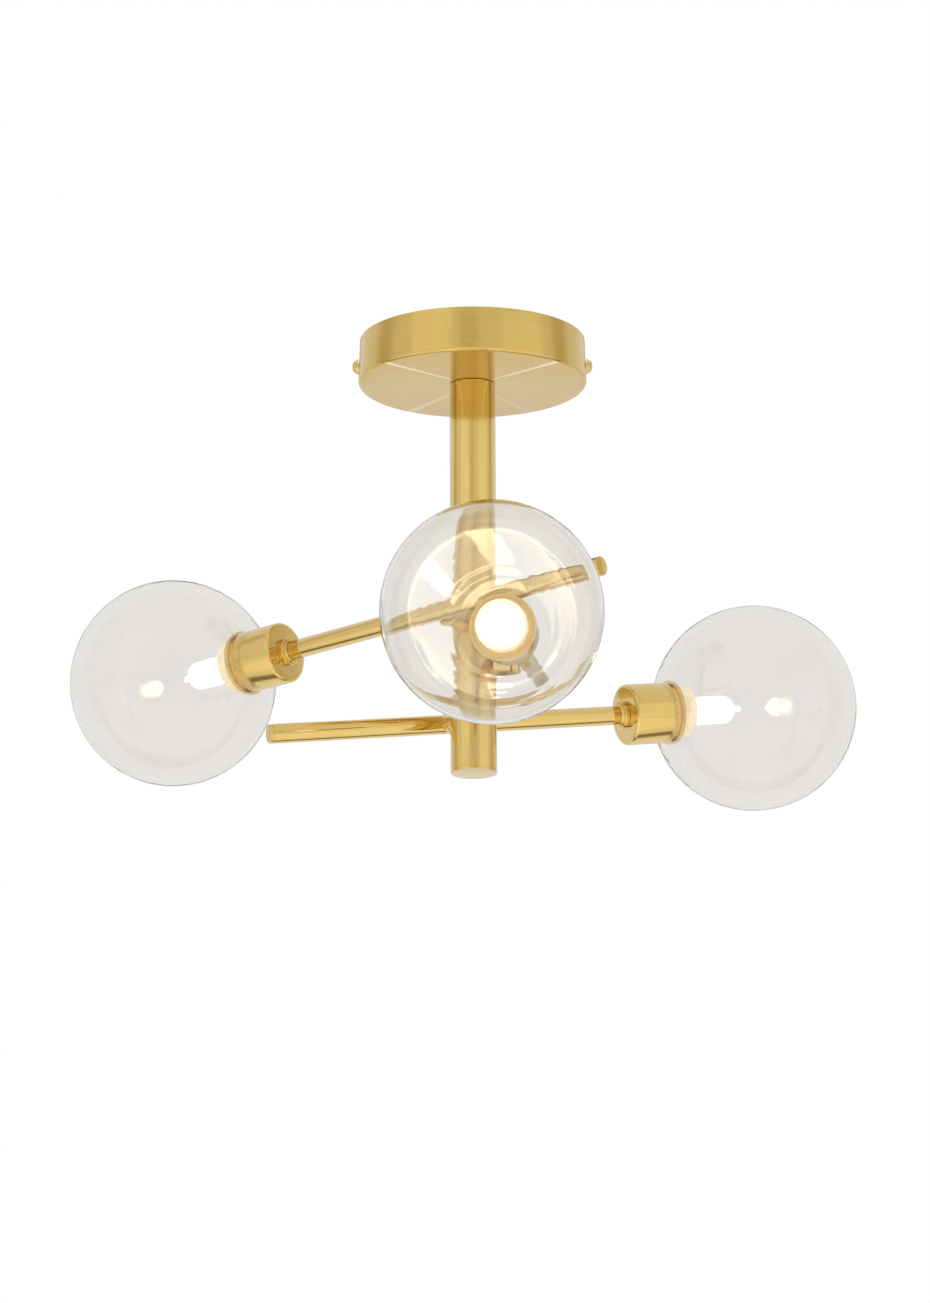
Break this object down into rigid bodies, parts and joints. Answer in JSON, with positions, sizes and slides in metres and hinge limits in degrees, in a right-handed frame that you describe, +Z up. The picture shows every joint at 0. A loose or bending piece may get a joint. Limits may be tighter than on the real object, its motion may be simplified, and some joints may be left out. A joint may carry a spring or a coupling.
{
  "type": "semi flush ceiling light",
  "caption": "Round brass canopy on a short column, with straight arms that swivel beside it, each carrying a lit capsule lamp in a clear glass globe.",
  "frame": {"origin": "middle of the ceiling plane, on the canopy's axis, where bracket and canopy rim meet the ceiling", "axes": "+Z up along the column's axis, +X along the bracket's length, -Y towards the picture's viewer"},
  "size_m": [0.4201, 0.386, 0.2509],
  "materials": {
    "canopy_brass": "lathe brushed, lacquered",
    "tube_brass": "satin polished, lacquered",
    "turned_brass": "turned, satin polished",
    "zinc_steel": "zinc plated",
    "terminal_plastic": "moulded",
    "dark_fibre": "matt",
    "lead_sheath": "silicone sheath",
    "holder_white": "unglazed, pale",
    "clear_glass": "clear, blown",
    "lamp_glass": "clear, lit",
    "filament_wire": "glowing coil"
  },
  "bodies": {
    "hanging_frame": {"canopy": "canopy_brass", "canopy_nipple": "zinc_steel", "canopy_nut": "zinc_steel", "canopy_side_screws": "turned_brass", "canopy_side_washers": "turned_brass", "ceiling_bracket": "zinc_steel", "column_end_cap": "turned_brass", "column_leads": "lead_sheath", "column_plug": "zinc_steel", "column_tube": "tube_brass", "earth_screw": "turned_brass", "friction_washers": "dark_fibre", "saddle_washers": "zinc_steel", "swivel_boss_front": "turned_brass", "swivel_boss_lower": "turned_brass", "swivel_boss_upper": "turned_brass", "terminal_block": "terminal_plastic", "terminal_screws": "zinc_steel"},
    "arm_upper": {"swivel_hub_upper": "turned_brass", "stem_nut_upper": "zinc_steel", "arm_tube_upper": "tube_brass", "arm_end_cap_upper": "turned_brass", "holder_collar_upper": "turned_brass", "holder_link_upper": "zinc_steel", "holder_cup_upper": "tube_brass", "lampholder_upper": "holder_white", "globe_upper": "clear_glass", "shade_ring_upper": "turned_brass", "lamp_glass_upper": "lamp_glass", "lamp_pins_upper": "zinc_steel", "lamp_filament_upper": "filament_wire", "arm_lead_upper": "lead_sheath"},
    "arm_front": {"swivel_hub_front": "turned_brass", "stem_nut_front": "zinc_steel", "arm_tube_front": "tube_brass", "arm_end_cap_front": "turned_brass", "holder_collar_front": "turned_brass", "holder_link_front": "zinc_steel", "holder_cup_front": "tube_brass", "lampholder_front": "holder_white", "globe_front": "clear_glass", "shade_ring_front": "turned_brass", "lamp_glass_front": "lamp_glass", "lamp_pins_front": "zinc_steel", "lamp_filament_front": "filament_wire", "arm_lead_front": "lead_sheath"},
    "arm_lower": {"swivel_hub_lower": "turned_brass", "stem_nut_lower": "zinc_steel", "arm_tube_lower": "tube_brass", "arm_end_cap_lower": "turned_brass", "holder_collar_lower": "turned_brass", "holder_link_lower": "zinc_steel", "holder_cup_lower": "tube_brass", "lampholder_lower": "holder_white", "globe_lower": "clear_glass", "shade_ring_lower": "turned_brass", "lamp_glass_lower": "lamp_glass", "lamp_pins_lower": "zinc_steel", "lamp_filament_lower": "filament_wire", "arm_lead_lower": "lead_sheath"}
  },
  "joints": [
    {"name": "arm_upper_swivel", "type": "hinge", "parent": "hanging_frame", "child": "arm_upper", "pos_m": [-0.01763, -0.02365, -0.153], "axis": [0.5976, 0.8018, 0], "range_deg": [-21.4, 16.6]},
    {"name": "arm_front_swivel", "type": "hinge", "parent": "hanging_frame", "child": "arm_front", "pos_m": [0.0293, -0.00344, -0.177], "axis": [-0.9932, 0.1167, 0], "range_deg": [-33.9, 5.1]},
    {"name": "arm_lower_swivel", "type": "hinge", "parent": "hanging_frame", "child": "arm_lower", "pos_m": [-0.01167, 0.02709, -0.201], "axis": [0.3955, -0.9184, 0], "range_deg": [-18.3, 4.7]}
  ]
}
